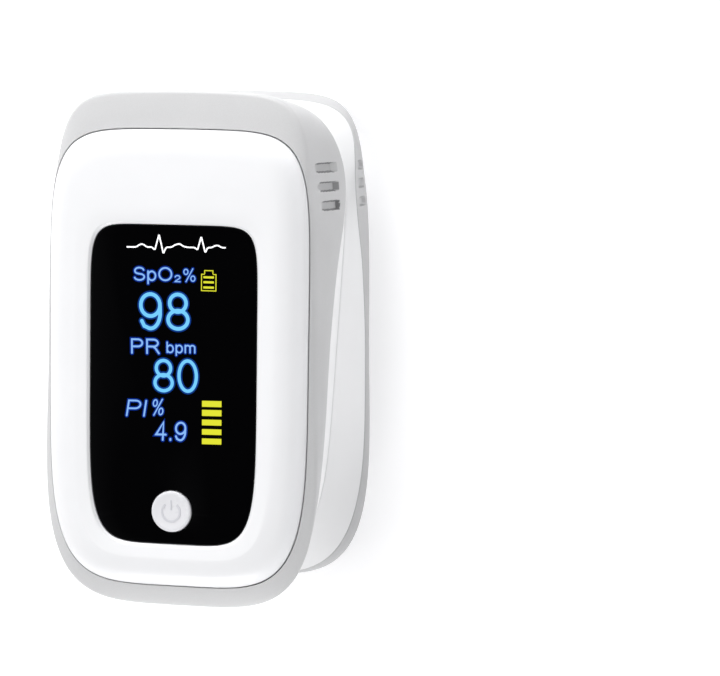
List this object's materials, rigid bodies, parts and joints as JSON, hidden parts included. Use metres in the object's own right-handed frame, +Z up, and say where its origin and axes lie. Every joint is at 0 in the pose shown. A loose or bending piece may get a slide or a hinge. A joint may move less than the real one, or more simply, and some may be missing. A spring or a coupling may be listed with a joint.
{
  "type": "fingertip pulse oximeter",
  "caption": "Clip-on fingertip pulse oximeter: two sprung halves on a hinge, display and power button above, battery bay with sliding door below.",
  "frame": {"origin": "middle of the base, on the resting plane", "axes": "+Z up out of the display, +Y towards the squeeze end, -Y towards the finger end, +X across"},
  "size_m": [0.0348, 0.061, 0.0332],
  "materials": {
    "white_shell": "satin white moulded ABS",
    "grey_trim": "fine matte light grey",
    "black_lens": "polished black acrylic",
    "silicone": "soft matte silicone",
    "clear_window": "clear polished",
    "circuit_board": "green solder mask",
    "oled_glass": "dark display glass",
    "flex_film": "amber polyimide film",
    "chip_body": "moulded epoxy",
    "led_body": "ceramic-like moulding",
    "photodiode_body": "dark epoxy",
    "steel": "plated steel",
    "button_cap": "satin white moulded",
    "switch_stem": "red-brown moulded",
    "cell_jacket": "plain printed sleeve",
    "lead_jacket": "insulated wire"
  },
  "bodies": {
    "lower_half": {"lower_shell": "white_shell", "lower_trim": "grey_trim", "bottom_plate": "white_shell", "lower_finger_pad": "silicone", "sensor_window": "clear_window", "photodiode": "photodiode_body", "sensor_board": "circuit_board", "battery_cell_left": "cell_jacket", "battery_cell_right": "cell_jacket", "cell_springs": "steel", "contact_plates": "steel", "cover_screw": "steel", "hinge_pin": "steel", "torsion_spring": "steel", "flex_cable": "flex_film", "battery_leads": "lead_jacket"},
    "upper_half": {"face_plate": "white_shell", "display_lens": "black_lens", "upper_trim": "grey_trim", "upper_shell": "white_shell", "upper_finger_pad": "silicone", "emitter_window": "clear_window", "led_emitter": "led_body", "emitter_board": "circuit_board", "main_pcb": "circuit_board", "oled_module": "oled_glass", "oled_flex": "flex_film", "microcontroller": "chip_body", "front_end_chip": "chip_body", "crystal": "steel", "passive_parts": "led_body", "tact_switch": "chip_body", "pcb_screws": "steel"},
    "button": {"power_button": "button_cap", "switch_plunger": "switch_stem"},
    "door": {"battery_door": "white_shell"}
  },
  "joints": [
    {"name": "clip_hinge", "type": "hinge", "parent": "lower_half", "child": "upper_half", "pos_m": [0, 0.0134, 0.0166], "axis": [-1, 0, 0], "range_deg": [0, 20], "deforming": ["torsion_spring", "flex_cable", "battery_leads"]},
    {"name": "button_press", "type": "slide", "parent": "upper_half", "child": "button", "axis": [0, 0, -1], "range_m": [0, 0.0005]},
    {"name": "door_slide", "type": "slide", "parent": "lower_half", "child": "door", "axis": [0, 1, 0], "range_m": [0, 0.047]}
  ]
}
